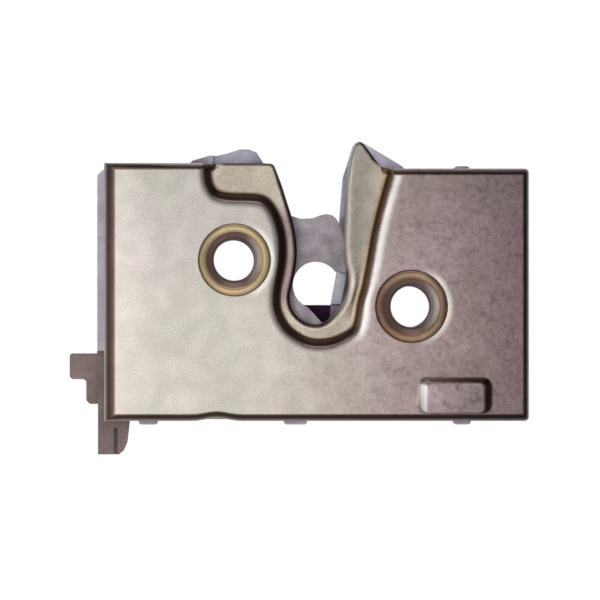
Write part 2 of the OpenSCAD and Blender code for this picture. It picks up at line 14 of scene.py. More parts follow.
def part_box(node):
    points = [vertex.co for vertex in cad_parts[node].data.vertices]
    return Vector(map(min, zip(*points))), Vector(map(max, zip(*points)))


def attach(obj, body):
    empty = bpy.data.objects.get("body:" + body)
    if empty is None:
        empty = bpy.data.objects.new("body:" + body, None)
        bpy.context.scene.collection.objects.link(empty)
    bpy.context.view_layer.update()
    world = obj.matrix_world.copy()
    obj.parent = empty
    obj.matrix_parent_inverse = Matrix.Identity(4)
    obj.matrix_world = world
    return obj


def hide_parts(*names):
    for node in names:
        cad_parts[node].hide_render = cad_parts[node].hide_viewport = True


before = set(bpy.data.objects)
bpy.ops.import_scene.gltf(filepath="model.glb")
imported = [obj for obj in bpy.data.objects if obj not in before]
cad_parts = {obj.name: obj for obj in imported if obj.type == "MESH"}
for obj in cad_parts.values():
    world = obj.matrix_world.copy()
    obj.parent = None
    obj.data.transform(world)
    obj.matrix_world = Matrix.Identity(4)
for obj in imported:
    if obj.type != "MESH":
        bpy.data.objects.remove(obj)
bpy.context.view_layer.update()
MM = 0.001

# %% [markdown]
# The shapes below are drawn in millimetres. Where the construction already says how wide and deep
# the case is and where the bushes stand, the numbers are read from the frame, so that the dressed
# pieces sit on their solids.

# %% Sizes from the frame


def box_in_mm(name):
    return [[round(v / MM, 2) for v in corner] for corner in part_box(name)]


cover_low, cover_high = box_in_mm("front_cover")
LEFT, FLOOR = cover_low[0], cover_low[2]
RIGHT, DEPTH = cover_high[0], cover_high[1]
bush_places = {}
for name in ("fork_bush", "pawl_bush"):
    low, high = box_in_mm(name)
    bush_places[name] = (round((low[0] + high[0]) / 2, 2), round((low[2] + high[2]) / 2, 2))
print("case from", LEFT, "to", RIGHT, "mm, bushes at", bush_places)

# %% [markdown]
# Nearly all the finishes here are metals with a skin, and they differ in the same few things: how
# the colour drifts, how fine the grain is and how sharply it shines. One builder takes those as
# numbers, so a finish reads as a short list. The coarse noise drifts between two tones, the fine
# noise speckles them, and a bump gives the light something to catch on. All of it is measured on
# Object coordinates, so the pattern has a real size and stays put when a piece moves.

# %% A builder for plated and plain finishes


def node(tree, kind, **inputs):
    made = tree.nodes.new(kind)
    for name, value in inputs.items():
        made.inputs[name.replace("_", " ")].default_value = value
    return made


def noise(tree, coords, size_mm, detail=3.0, roughness=0.5):
    made = node(tree, "ShaderNodeTexNoise", Scale=1 / (size_mm * MM), Detail=detail, Roughness=roughness)
    tree.links.new(coords, made.inputs["Vector"])
    return made.outputs["Fac"]


def ramp(tree, factor, stops):
    made = tree.nodes.new("ShaderNodeValToRGB")
    bar = made.color_ramp.elements
    while len(bar) < len(stops):
        bar.new(0.5)
    for stop, (place, colour) in zip(bar, stops):
        stop.position = place
        stop.color = (*colour, 1)
    tree.links.new(factor, made.inputs["Fac"])
    return made.outputs["Color"]


def mixed(tree, kind, factor, below, above):
    made = tree.nodes.new("ShaderNodeMix")
    made.data_type = "RGBA"
    made.blend_type = kind
    factor_socket, colour_a, colour_b = made.inputs[0], made.inputs[6], made.inputs[7]
    for socket, value in ((factor_socket, factor), (colour_a, below), (colour_b, above)):
        if isinstance(value, bpy.types.NodeSocket):
            tree.links.new(value, socket)
        else:
            socket.default_value = value if isinstance(value, float) else (*value, 1)
    return made.outputs[2]


def finish(
        name, tones, speckle, metallic, dullness,
        grain_mm=0.25, drift_mm=9.0, bump_mm=0.012, bump=0.35):
    material = bpy.data.materials.new(name)
    material.use_nodes = True
    tree = material.node_tree
    shader = tree.nodes["Principled BSDF"]
    shader.inputs["Metallic"].default_value = metallic
    coords = tree.nodes.new("ShaderNodeTexCoord").outputs["Object"]
    drift = ramp(tree, noise(tree, coords, drift_mm, 4.0), [(0.35, tones[0]), (0.65, tones[1])])
    grain = noise(tree, coords, grain_mm, 2.0, 0.7)
    speckles = ramp(tree, grain, [(0.38, (1 - speckle,) * 3), (0.6, (1, 1, 1))])
    tree.links.new(mixed(tree, "MULTIPLY", 1.0, drift, speckles), shader.inputs["Base Color"])
    low, high = dullness
    dull = node(tree, "ShaderNodeMapRange", From_Min=0.3, From_Max=0.7, To_Min=low, To_Max=high)
    tree.links.new(noise(tree, coords, drift_mm / 4), dull.inputs["Value"])
    tree.links.new(dull.outputs["Result"], shader.inputs["Roughness"])
    bumps = node(tree, "ShaderNodeBump", Strength=bump, Distance=bump_mm * MM)
    tree.links.new(grain, bumps.inputs["Height"])
    tree.links.new(bumps.outputs["Normal"], shader.inputs["Normal"])
    print("finish:", name)
    return material


clear_zinc = finish("clear_zinc", [(0.278, 0.256, 0.302), (0.352, 0.330, 0.386)], 0.15, 0.75, (0.34, 0.46))

# %% [markdown]
# That first finish is for the plate behind. The other plain ones are brown zinc on the levers,
# sintered steel on the fork, bright turned steel on the rivets, drawn wire, nylon and two rubbers.
# Sintered steel is pressed from powder, so its grain is coarser and deeper than that of sheet, and
# it drifts in small patches. Rubber is dull and gives back little light, which its specular level
# says.

# %% Plain finishes
brown_zinc = finish("brown_zinc", [(0.165, 0.118, 0.112), (0.235, 0.172, 0.163)], 0.25, 0.6, (0.42, 0.55))
sintered = finish(
    "sintered_steel", [(0.27, 0.238, 0.26), (0.43, 0.385, 0.418)], 0.3, 0.7, (0.5, 0.65),
    grain_mm=0.3, drift_mm=2.4, bump_mm=0.03, bump=0.6)
bright_steel = finish("bright_steel", [(0.46, 0.45, 0.43), (0.58, 0.57, 0.55)], 0.12, 0.95, (0.26, 0.36))
wire_steel = finish("wire_steel", [(0.22, 0.22, 0.24), (0.33, 0.33, 0.35)], 0.2, 0.95, (0.24, 0.36))
nylon = finish("nylon", [(0.60, 0.58, 0.50), (0.68, 0.66, 0.58)], 0.08, 0.0, (0.42, 0.55))
black_rubber = finish(
    "black_rubber", [(0.030, 0.027, 0.032), (0.045, 0.041, 0.048)], 0.3, 0.0, (0.6, 0.75))
buffer_rubber = finish(
    "buffer_rubber", [(0.060, 0.008, 0.064), (0.080, 0.015, 0.084)], 0.3, 0.0, (0.6, 0.75))
for rubber in (black_rubber, buffer_rubber):
    rubber.node_tree.nodes["Principled BSDF"].inputs["Specular IOR Level"].default_value = 0.2

# %% [markdown]
# These pieces are small or plain enough to keep the construction's own mesh. They only change their
# material.

# %% Dress the pieces that keep their shape
worn_by = {
    "fork_spring": wire_steel, "pawl_spring": wire_steel, "release_spring": wire_steel,
    "lock_spring": wire_steel, "fork_washer": nylon, "pawl_washer": nylon, "lever_washer": nylon,
    "lock_dog": nylon, "fork_stop": black_rubber, "lock_collar": bright_steel,
}
for name, material in worn_by.items():
    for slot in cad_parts[name].material_slots:
        slot.material = material
print("dressed:", len(worn_by), "nodes")

# %% [markdown]
# Some finishes change from place to place on a piece. For those, a share says how far a place lies
# between two others, from 0 to 1, and the colour is mixed by it. A second helper opens a finish for
# such layers: it hands over the node tree, the colour socket and the three axes. The first use is
# the plate's flare, the part of it that stands above the case at the left. It is creased, and the
# light and shade of each facet are painted into its colour. The plate's ear, further right, gets
# painted light that makes it paler.

# %% Painted facet light and shade on the clear zinc plate's creased flare


def share_of(tree, value, low, high, smooth=True):
    made = node(tree, "ShaderNodeMapRange", From_Min=low, From_Max=high)
    if smooth:
        made.interpolation_type = "SMOOTHSTEP"
    tree.links.new(value, made.inputs["Value"])
    return made.outputs["Result"]


def coords_of(material):
    return next(n for n in material.node_tree.nodes if n.type == "TEX_COORD").outputs["Object"]


def opened(material):
    tree = material.node_tree
    colour = tree.nodes["Principled BSDF"].inputs["Base Color"]
    axes = tree.nodes.new("ShaderNodeSeparateXYZ")
    tree.links.new(coords_of(material), axes.inputs["Vector"])
    return tree, colour, axes.outputs


tree, plate_colour, axes = opened(clear_zinc)
above_case = share_of(tree, axes["Z"], 19.5 * MM, 20.0 * MM, smooth=False)
along_flare = share_of(tree, axes["X"], -22 * MM, -8 * MM, smooth=False)
# Painted light and shade: each facet of the flare is lightened or darkened, and the last stop paints the
# plate's ear lighter.
painted_facet_light = ramp(tree, along_flare, [
    (0.0, (0.46, 0.36, 0.36)), (0.2, (0.72, 0.69, 0.72)), (0.33, (0.95, 0.95, 0.95)),
    (0.35, (0.42, 0.38, 0.42)), (0.38, (0.70, 0.72, 0.76)), (0.62, (0.98, 1.0, 1.03)),
    (0.8, (0.82, 0.83, 0.88)), (0.93, (0.48, 0.46, 0.54)), (0.99, (1.35, 1.35, 1.42))])
painted_crease_light = mixed(tree, "MULTIPLY", above_case, plate_colour.links[0].from_socket, painted_facet_light)
tree.links.new(painted_crease_light, plate_colour)
print("creased:", clear_zinc.name)

# %% [markdown]
# The cover is one pressed sheet in yellow passivated zinc. Its colour is never even, so it starts
# as a plain finish and gets one layer after another. The first layers are the slow ones: the colour
# runs from cream at the left to mauve at the right, partly the zinc's own tone and partly painted
# light that fades to the right, with a painted highlight along the left edge. It also darkens a
# little towards the top.

# %% The cover's yellow zinc
yellow_zinc = finish(
    "yellow_zinc", [(0.56, 0.53, 0.49), (0.63, 0.60, 0.56)], 0.2, 0.8, (0.36, 0.44),
    grain_mm=0.3, drift_mm=12.0)
tree, cover_colour, axes = opened(yellow_zinc)
coords = coords_of(yellow_zinc)
plain = cover_colour.links[0].from_socket
PAST_EDGE = 0.5
across = share_of(tree, axes["X"], (LEFT - PAST_EDGE) * MM, (RIGHT + PAST_EDGE) * MM, smooth=False)
# Partly the zinc's own tone and partly painted light: a painted highlight at the left edge, then darker
# towards the right.
tone_and_light_across = ramp(tree, across, [
    (0.03, (1.08, 1.06, 1.04)), (0.13, (0.89, 0.88, 0.86)), (0.34, (0.86, 0.85, 0.825)),
    (0.45, (0.77, 0.755, 0.73)), (0.56, (0.68, 0.63, 0.625)), (0.69, (0.56, 0.47, 0.49)),
    (0.83, (0.42, 0.34, 0.36)), (0.96, (0.29, 0.225, 0.25))])
layered = mixed(tree, "MULTIPLY", 1.0, plain, tone_and_light_across)
upwards = share_of(tree, axes["Z"], -12 * MM, 19 * MM)
low_to_high = ramp(tree, upwards, [(0.0, (0.92, 0.91, 0.90)), (1.0, (0.77, 0.76, 0.77))])
layered = mixed(tree, "MULTIPLY", 1.0, layered, low_to_high)
print("yellow zinc: slow drift")

# %% [markdown]
# Passivation leaves spots, and here they gather to the right. A fine mottle and small grey stains
# are mixed in by the share of X. Wide, faint clouds of green and pink lie all over the sheet.

# %% Mottle, clouds and stains
mottle = ramp(tree, noise(tree, coords, 0.9, 4.0, 0.6), [
    (0.35, (0.80, 0.77, 0.80)), (0.5, (1, 1, 1)), (0.65, (1.16, 1.13, 1.13))])
layered = mixed(tree, "MULTIPLY", share_of(tree, axes["X"], -20 * MM, 30 * MM), layered, mottle)
clouds = ramp(tree, noise(tree, coords, 11.0, 2.0), [
    (0.38, (0.985, 1.01, 0.975)), (0.5, (1, 1, 1)), (0.6, (1.01, 0.985, 1.0))])
layered = mixed(tree, "MULTIPLY", 1.0, layered, clouds)
stains = ramp(tree, noise(tree, coords, 2.2, 7.0, 0.7), [(0.33, (0.62, 0.61, 0.64)), (0.46, (1, 1, 1))])
layered = mixed(tree, "MULTIPLY", share_of(tree, axes["X"], -10 * MM, 25 * MM), layered, stains)
print("yellow zinc: mottle, clouds and stains")

# %% [markdown]
# Down in the recess the zinc has kept more of its yellow. The modelling further on leaves a number
# called shelter in the mesh, 1 in the recess and 0 on the face, and this layer reads it. The ear
# has a grey middle and a light edge, the rim under the mouth is lighter, and the narrow rim at the
# mouth's left is darkened with painted shade. The top of the boss is a little lighter than the face.

# %% The sheltered recess


def product(tree, *factors):
    result = factors[0]
    for factor in factors[1:]:
        times = tree.nodes.new("ShaderNodeMath")
        times.operation = "MULTIPLY"
        tree.links.new(result, times.inputs[0])
        tree.links.new(factor, times.inputs[1])
        result = times.outputs[0]
    return result


def attribute(tree, name):
    made = tree.nodes.new("ShaderNodeAttribute")
    made.attribute_name = name
    return made.outputs["Fac"]


to_ear = share_of(tree, axes["X"], -2 * MM, 6 * MM)
olive = ramp(tree, to_ear, [(0.0, (0.60, 0.57, 0.48)), (1.0, (0.47, 0.44, 0.38))])
sheltered = mixed(tree, "MULTIPLY", 1.0, plain, olive)
sheltered = mixed(tree, "MULTIPLY", 0.45, sheltered, mottle)
across_ear = share_of(tree, axes["X"], -4 * MM, 12 * MM, smooth=False)
ear_tones = ramp(tree, across_ear, [
    (0.0, (1, 1, 1)), (0.5, (0.97, 0.98, 1.0)), (0.65, (0.86, 0.89, 0.96)),
    (0.78, (0.90, 0.92, 0.96)), (0.88, (1.17, 1.13, 1.05))])
sheltered = mixed(tree, "MULTIPLY", share_of(tree, axes["Z"], 5 * MM, 10 * MM), sheltered, ear_tones)
under_mouth = share_of(tree, axes["Z"], 7 * MM, 0.0)
sheltered = mixed(tree, "MULTIPLY", under_mouth, sheltered, (1.42, 1.40, 1.42))
# Painted shade: the narrow rim at the mouth's left is darkened.
left_rim_shade = product(
    tree, share_of(tree, axes["X"], -1 * MM, -4 * MM), share_of(tree, axes["Z"], -6 * MM, -1 * MM),
    share_of(tree, axes["Z"], 14 * MM, 11 * MM))
sheltered = mixed(tree, "MULTIPLY", left_rim_shade, sheltered, (0.50, 0.43, 0.50))
layered = mixed(tree, "MIX", attribute(tree, "shelter"), layered, sheltered)
boss_height = share_of(tree, axes["Y"], -0.2 * MM, -1.1 * MM)
layered = mixed(tree, "MULTIPLY", boss_height, layered, (1.04, 1.08, 1.12))
print("yellow zinc: recess and boss")

# %% [markdown]
# Along its bends the sheet is darkened with painted shade, and beside them it is lightened with
# painted highlights. A second number in the mesh says which: from 1 for the darkest painted shade
# to -1 for the brightest painted highlight. On the wall at the right of the mouth the painted shade
# is tinted golden brown.

# %% Painted shade and highlights along the bends
skin_age = attribute(tree, "skin")
# Painted shade: the colour is darkened where the mesh value is above zero.
bend_shade_paint = ramp(tree, skin_age, [
    (0.0, (1, 1, 1)), (0.35, (0.56, 0.49, 0.47)), (0.7, (0.215, 0.145, 0.13)),
    (0.94, (0.085, 0.053, 0.050)), (1.0, (0.115, 0.032, 0.050))])
layered = mixed(tree, "MULTIPLY", 1.0, layered, bend_shade_paint)
# Golden brown tint of the painted shade on the wall at the right of the mouth.
golden_shade_tint = ramp(tree, skin_age, [(0.15, (1, 1, 1)), (0.45, (1.42, 1.25, 0.74))])
right_wall = product(
    tree, share_of(tree, axes["X"], 3 * MM, 7 * MM), share_of(tree, axes["X"], 16 * MM, 13 * MM),
    share_of(tree, axes["Z"], -9 * MM, -5 * MM))
layered = mixed(tree, "MULTIPLY", right_wall, layered, golden_shade_tint)
# Painted highlight: the colour is lightened where the mesh value is below zero.
layered = mixed(tree, "MIX", share_of(tree, skin_age, 0.0, -1.0), layered, (0.88, 0.86, 0.82))
print("yellow zinc: bends")

# %% [markdown]
# A bright crescent at the right of each bush, where the seat dips round the collar, is a painted
# highlight. It is laid over the colour, by the distance from the bush's axis and by how far to the
# right of that axis a place lies.

# %% A painted highlight beside each bush
SEAT_INSIDE, SEAT_OUTSIDE = 6.1, 7.3
CRESCENT_FROM, CRESCENT_TO = 1.0, 5.5
for bush_x, bush_z in bush_places.values():
    far = tree.nodes.new("ShaderNodeVectorMath")
    far.operation = "DISTANCE"
    far.inputs[1].default_value = (bush_x * MM, 0, bush_z * MM)
    tree.links.new(coords, far.inputs[0])
    near = share_of(tree, far.outputs["Value"], SEAT_OUTSIDE * MM, SEAT_INSIDE * MM)
    facing = share_of(tree, axes["X"], (bush_x + CRESCENT_FROM) * MM, (bush_x + CRESCENT_TO) * MM)
    # Painted highlight: a bright crescent screened over the colour.
    layered = mixed(tree, "SCREEN", product(tree, near, facing), layered, (0.42, 0.40, 0.36))
tree.links.new(layered, cover_colour)
print("yellow zinc:", len(tree.nodes), "nodes")

# %% [markdown]
# Now the cover's shape. A pressed cover is drawn as lines and then swept, so the lines come first,
# in millimetres: the edge where the face starts to fall into the recess, and the edge of the mouth
# with the pad at its left end and the ear at its right. Each is a short list of corners, and
# cutting the corners twice makes it a smooth line.

# %% Lines of the cover
TOP_LEFT, TOP_RIGHT = 20.4, 19.5
FOLD, LEFT_FOLD = 1.25, 1.95
RECESS = 2.0


def smooth_line(*corners):
    points = [Vector((x, 0, z)) for x, z in corners]
    for _ in range(2):
        cuts = [p for a, b in zip(points, points[1:]) for p in (a.lerp(b, 0.25), a.lerp(b, 0.75))]
        points = [points[0], *cuts, points[-1]]
    return points


step_line = smooth_line(
    (-19.0, TOP_LEFT - FOLD), (-18.8, 16.9), (-17.7, 14.8), (-15.3, 13.95), (-9.9, 13.95), (-8.5, 13.2),
    (-7.4, 11.2), (-6.7, 9.0), (-6.4, 7.0), (-6.4, 4.6), (-6.7, 2.2), (-7.4, -1.0), (-7.4, -4.2),
    (-5.8, -7.5), (-3.1, -9.6), (-0.5, -10.4), (2.6, -10.2), (5.0, -9.1), (6.8, -7.9), (7.4, -5.8),
    (7.9, -2.5), (8.5, -0.8), (9.4, 3.8), (10.3, 9.2), (11.6, 14.2), (12.8, TOP_RIGHT - FOLD))
mouth_line = smooth_line(
    (-16.8, 20.15), (-16.4, 20.3), (-15.9, 20.36), (-12.0, 20.38), (-8.0, 20.35), (-7.35, 20.2),
    (-7.0, 19.8), (-5.75, 16.5), (-5.0, 14.0), (-4.0, 11.0), (-3.35, 7.5), (-3.2, 4.6), (-3.9, 0.6),
    (-4.6, -1.8), (-4.3, -3.9), (-2.9, -5.7), (-0.9, -6.7), (1.1, -6.4), (3.0, -4.7), (4.6, -2.6),
    (5.25, -0.2), (5.3, 1.9), (4.75, 3.4), (4.5, 7.8), (4.7, 10.5), (4.75, 13.5), (4.9, 17.2),
    (5.4, 20.4), (6.0, 22.8), (6.6, 23.8), (7.3, 24.0), (7.9, 23.6), (9.2, 21.9), (10.3, 20.35),
    (10.75, 19.75))
print("step line:", len(step_line), "points, mouth line:", len(mouth_line), "points")

# %% [markdown]
# The flat face is bounded by the soft start of the step, which lies a little outside the step line.
# It is wider towards the ear, and narrower where a bush is near.

# %% The soft start of the step
SOFT, SOFT_BY_EAR = 1.35, 0.55
SEAT, SEAT_RIM, SEAT_GAP = 6.05, 0.15, 0.35


def between(value, low, high):
    return min(1.0, max(0.0, (value - low) / (high - low)))


def ear_side(point):
    return between(point.x, 3, 7)


def sides_of(points, closed=False):
    count = len(points)
    sides = []
    for i in range(count):
        ahead = points[(i + 1) % count] if closed or i + 1 < count else points[i]
        back = points[i - 1] if closed or i else points[i]
        way = (ahead - back).normalized()
        sides.append(Vector((way.z, 0, -way.x)))
    return sides


def soft_reach(point):
    to_seats = [(point - Vector((x, 0, z))).length - SEAT - SEAT_GAP for x, z in bush_places.values()]
    return min(SOFT + SOFT_BY_EAR * ear_side(point), *to_seats)


def chain(bm, points, closed=False):
    verts = [bm.verts.new(p) for p in points]
    for a, b in zip(verts, verts[1:] + verts[:1] if closed else verts[1:]):
        bm.edges.new((a, b))
    return verts


bm = bmesh.new()
# This layer holds each point's painted shade (above zero) or painted highlight (below zero).
skin = bm.verts.layers.float.new("skin")
shelter = bm.verts.layers.float.new("shelter")
step_sides = sides_of(step_line)
step_sides[0], step_sides[-1] = Vector((-1, 0, 0)), Vector((1, 0, 0))
soft_sides = [side * soft_reach(point) for point, side in zip(step_line, step_sides)]
soft_verts = chain(bm, [point + side for point, side in zip(step_line, soft_sides)])
print("soft start:", len(soft_verts), "points")

# %% [markdown]
# Round the outside run the fold lines, square at the left and with small rounded corners at the
# right. The bottom edge has a shallow rise left of the middle. With the holes for the bushes and
# the foot of the boss, every line of the face is there, and one fill closes it.

# %% The face of the cover
CORNER, CORNER_ON_FACE = 0.45, 0.3
RISE_AT, RISE, RISE_HALF = -16.7, 0.5, 4.0
FLOOR_STEPS, ROUND_STEPS = 60, 5


def floor_rise(x):
    off = x - RISE_AT
    return RISE * cos(off * pi / 2 / RISE_HALF) ** 2 if abs(off) < RISE_HALF else 0.0


def circle(x, z, radius, count=64):
    turns = [2 * pi * i / count for i in range(count)]
    return [Vector((x + radius * cos(turn), 0, z + radius * sin(turn))) for turn in turns]


def rounded_box(left, right, low, high, radius):
    corners = [
        (right, high, 1, 1, 0), (left, high, -1, 1, 90),
        (left, low, -1, -1, 180), (right, low, 1, -1, 270)]
    points = []
    for x, z, x_side, z_side, start in corners:
        for turn in (radians(start + 90 * k / ROUND_STEPS) for k in range(ROUND_STEPS + 1)):
            points.append(Vector((x + radius * (cos(turn) - x_side), 0, z + radius * (sin(turn) - z_side))))
    return points


fold_left, fold_right, fold_floor = LEFT + LEFT_FOLD, RIGHT - FOLD, FLOOR + FOLD
corner_turns = [radians(turn) for turn in (0, 30, 60, 90)]
high_ways = [Vector((1 - CORNER + CORNER * sin(t), 0, 1 - CORNER + CORNER * cos(t))) for t in corner_turns]
low_ways = [Vector((way.x, 0, -way.z)) for way in reversed(high_ways)]
high_corner = Vector((fold_right, 0, TOP_RIGHT - FOLD))
low_corner = Vector((fold_right, 0, fold_floor))
corners = [high_corner + (way - Vector((1, 0, 1))) * CORNER_ON_FACE for way in high_ways]
corners += [low_corner + (way - Vector((1, 0, -1))) * CORNER_ON_FACE for way in low_ways]
floor_x = [fold_right - (fold_right - fold_left) * i / FLOOR_STEPS for i in range(1, FLOOR_STEPS)]
floor_edge = [Vector((x, 0, fold_floor + floor_rise(x))) for x in floor_x]
left_corners = [Vector((fold_left, 0, fold_floor)), Vector((fold_left, 0, TOP_LEFT - FOLD))]
around = chain(bm, [*corners, *floor_edge, *left_corners])
bm.edges.new((soft_verts[-1], around[0]))
bm.edges.new((around[-1], soft_verts[0]))
seat_verts = [chain(bm, circle(x, z, SEAT + SEAT_RIM), True) for x, z in bush_places.values()]
boss_foot = rounded_box(16.6, 29.4, -21.42, -15.3, 1.7)
boss_top = rounded_box(18.5, 27.8, -21.25, -16.45, 0.6)
boss_verts = chain(bm, boss_foot, True)
bmesh.ops.triangle_fill(bm, use_beauty=True, edges=bm.edges[:])
print("face:", len(bm.faces), "faces")

# %% [markdown]
# Each edge is now swept: it is extruded through a few steps that turn it into a bend and a wall.
# That keeps every bend an even strip of faces, which smooth shading needs. A step says how far it
# goes sideways and how deep, and how much painted shade or highlight it carries. It gives two such
# values, and each point of the line has its own share of the second, so one sweep can be painted
# dark at one end and light at the other. The first sweep falls two millimetres into the recess, with
# a wide soft start and a steep wall in painted shade. Its ends run up to meet the top of the case.

# %% The step into the recess
WALL_END_RISE = 0.9


def edges_of(bm, verts, closed=False):
    return [bm.edges.get((a, b)) for a, b in zip(verts, verts[1:] + verts[:1] if closed else verts[1:])]


def sweep(bm, verts, steps, closed=False, sides=None, shares=None):
    start = [v.co.copy() for v in verts]
    sides = sides or sides_of(start, closed)
    shares = shares or [0.0] * len(verts)
    rows = [verts]
    for out, deep, paint_level, other_paint_level in steps:
        made = bmesh.ops.extrude_edge_only(bm, edges=edges_of(bm, verts, closed))["geom"]
        fresh = {g for g in made if isinstance(g, bmesh.types.BMVert)}
        verts = [next(e.other_vert(v) for e in v.link_edges if e.other_vert(v) in fresh) for v in verts]
        for vert, at, side, share in zip(verts, start, sides, shares):
            vert.co = at + side * out + Vector((0, deep, 0))
            vert[skin] = paint_level + (other_paint_level - paint_level) * share
        rows.append(verts)
    return rows


ear_shares = [ear_side(point) for point in step_line]
# Near the ear the soft start carries a painted highlight, and the wall below it painted shade.
soft_steps = [
    (-0.25, 0.01, -0.14, -0.25), (-0.5, 0.04, -0.08, -0.45), (-0.75, 0.1, 0.15, -0.4), (-1, 0.2, 0.45, 0.02)]
soft_rows = sweep(bm, soft_verts, soft_steps, sides=soft_sides, shares=ear_shares)
wall_steps = [
    (-0.15, 0.32, 0.75, 0.25), (-0.3, 0.55, 0.95, 0.42), (-0.45, 0.9, 1.0, 0.58), (-0.58, 1.25, 0.86, 0.7),
    (-0.76, 1.58, 0.88, 0.75), (-0.96, 1.84, 1.0, 0.68), (-1.2, 1.96, 0.75, 0.4), (-1.45, RECESS, 0.35, 0.1),
    (-1.8, RECESS, 0.0, -0.2)]
wall_rows = sweep(bm, soft_rows[-1], wall_steps, sides=sides_of(step_line), shares=ear_shares)
for count, row in enumerate(wall_rows):
    for vert in (row[0], row[-1]):
        vert.co.z += WALL_END_RISE * between(count, 0, 3)
print("with the step:", len(bm.faces), "faces")

# %% [markdown]
# The outer folds go the same way, and then straight back to the full depth of the case. The sweep
# runs along the top on both sides of the mouth, so it starts and ends on the rows of the soft
# start. All the folds carry painted shade, and the left and bottom folds carry the darker painted shade.

# %% The outer folds
up, down = Vector((0, 0, 1)), Vector((0, 0, -1))
left_slope = LEFT_FOLD / FOLD
left_ways = [Vector((-left_slope, 0, -1)), Vector((-left_slope, 0, 1))]
right_end = [row[-1] for row in reversed(soft_rows)]
left_end = [row[0] for row in soft_rows]
fold_line = [*right_end, *around, *left_end]
fold_sides = [*[up] * len(right_end), *high_ways, *low_ways, *[down] * len(floor_edge), *left_ways]
fold_sides += [up] * len(left_end)
fold_shares = [0.0 if side.x < 0 or side.z < -0.8 else 1.0 for side in fold_sides]
# Painted shade on every fold, darker at the left and bottom.
fold_steps = [
    (0.12, 0.005, 0.5, 0.2), (0.3, 0.03, 0.85, 0.6), (0.5, 0.1, 0.93, 0.85), (0.68, 0.24, 0.88, 0.85),
    (0.84, 0.46, 0.76, 0.5), (0.97, 0.8, 0.62, 0.15), (1.08, 1.25, 0.5, 0.0), (1.17, 1.9, 0.4, 0.0),
    (1.23, 2.8, 0.25, 0.0), (FOLD, 4.0, 0.0, 0.0), (FOLD, DEPTH, 0.0, 0.0)]
sweep(bm, fold_line, fold_steps, sides=fold_sides, shares=fold_shares)
print("with the folds:", len(bm.faces), "faces")

# %% [markdown]
# The seats of the bushes dip a little at their rims, with a little painted shade in the dip. The
# boss rises from its foot to a smaller top, so each point has its own way to go, from the one outline
# to the other. Its left side gets a painted highlight, its bottom side is plain, and painted shade
# lies along its top and its right side.

# %% Seats and boss
# Painted shade in the dip of each seat.
seat_steps = [
    (-0.08, 0.0, 0.05), (-0.16, 0.02, 0.2), (-0.22, 0.06, 0.35), (-0.28, 0.2, 0.4), (-0.6, 0.3, 0.3)]
for seat in seat_verts:
    sweep(bm, seat, [(*step, 0.0) for step in seat_steps], True)
boss_sides = [foot - top for foot, top in zip(boss_foot, boss_top)]
boss_shares = []
for side in boss_sides:
    to_light = -0.8 * side.x - 0.75 * max(0.0, side.z) - 1.2 * min(0.0, side.z)
    boss_shares.append(between(to_light, -1.0, 1.2))
# Painted highlight on the boss's left side, painted shade on its top and right side.
boss_steps = [
    (-0.12, -0.04, 0.3, -0.05), (-0.3, -0.2, 0.9, -0.35), (-0.5, -0.5, 1.0, -0.85), (-0.7, -0.85, 1.0, -1.0),
    (-0.85, -1.05, 0.6, -0.55), (-1.0, -1.14, 0.0, 0.0)]
boss_rows = sweep(bm, boss_verts, boss_steps, True, boss_sides, boss_shares)
bmesh.ops.triangle_fill(bm, use_beauty=True, edges=edges_of(bm, boss_rows[-1], True))
print("with seats and boss:", len(bm.faces), "faces")

# %% [markdown]
# Down in the recess lies one band of sheet: the pad, the rim round the mouth and the ear. Its free
# edge is rolled back into the mouth, tightly at the left and more openly at the right, and the roll
# thins out towards the ear's tip and towards both ends of the band.

# %% Pad, rim and ear
ROLL_FROM = 1.35


def roll_width(point):
    width = 0.7 + 0.3 * between(point.x, -1, 3)
    width -= 0.25 * between(point.z, 17, 20) + 0.25 * between(point.z, 20.5, 23.5)
    from_ends = min(between(point.x, -16.8, -15.4), between(point.x, 10.75, 9.6))
    return width * (0.1 + 0.9 * from_ends)


roll_sides = [side * roll_width(point) for point, side in zip(mouth_line, sides_of(mouth_line))]
rim_foot = wall_rows[-1]
in_recess = Vector((0, RECESS, 0))
rim_edge = chain(bm, [point + side * ROLL_FROM + in_recess for point, side in zip(mouth_line, roll_sides)])
joins = [bm.edges.new((rim_foot[0], rim_edge[0])), bm.edges.new((rim_edge[-1], rim_foot[-1]))]
band_edges = edges_of(bm, rim_foot) + edges_of(bm, rim_edge) + joins
bmesh.ops.triangle_fill(bm, use_beauty=True, edges=band_edges)
open_shares = [between(point.x, 1, 4) - between(point.x, 6.4, 7.4) for point in mouth_line]
# The roll is darkened with painted shade along most of the mouth and carries a painted highlight along the
# ear's left edge.
roll_steps = [
    (-0.3, 0.0, 0.0, 0.0), (-0.55, 0.02, 0.1, -0.1), (-0.75, 0.08, 0.7, -0.1), (-0.95, 0.18, 1.0, -0.2),
    (-1.15, 0.36, 1.0, -0.5), (-ROLL_FROM, 0.65, 1.0, -0.6)]
roll_rows = sweep(bm, rim_edge, roll_steps, sides=roll_sides, shares=open_shares)
print("with the rim:", len(bm.faces), "faces")

# %% [markdown]
# Two things are left to write into the mesh. The shelter number grows to 1 over the first rows of
# the wall that lie deep enough, and stays there for the rest of the recess. The two ends of the
# band, in the corners under the case's top, get dark painted shade.

# %% Shelter and painted shade in the corners
for count, row in enumerate([*wall_rows[3:], *roll_rows]):
    for vert in row:
        vert[shelter] = between(count, 0, 3)
# Painted shade in the corners under the case's top.
for row in [*wall_rows[5:], *roll_rows]:
    row[-1][skin] = 0.8
for row in [*wall_rows[6:], *roll_rows]:
    row[0][skin] = 0.9
    row[1][skin] = 0.9
print("sheltered points:", sum(vert[shelter] > 0 for vert in bm.verts))

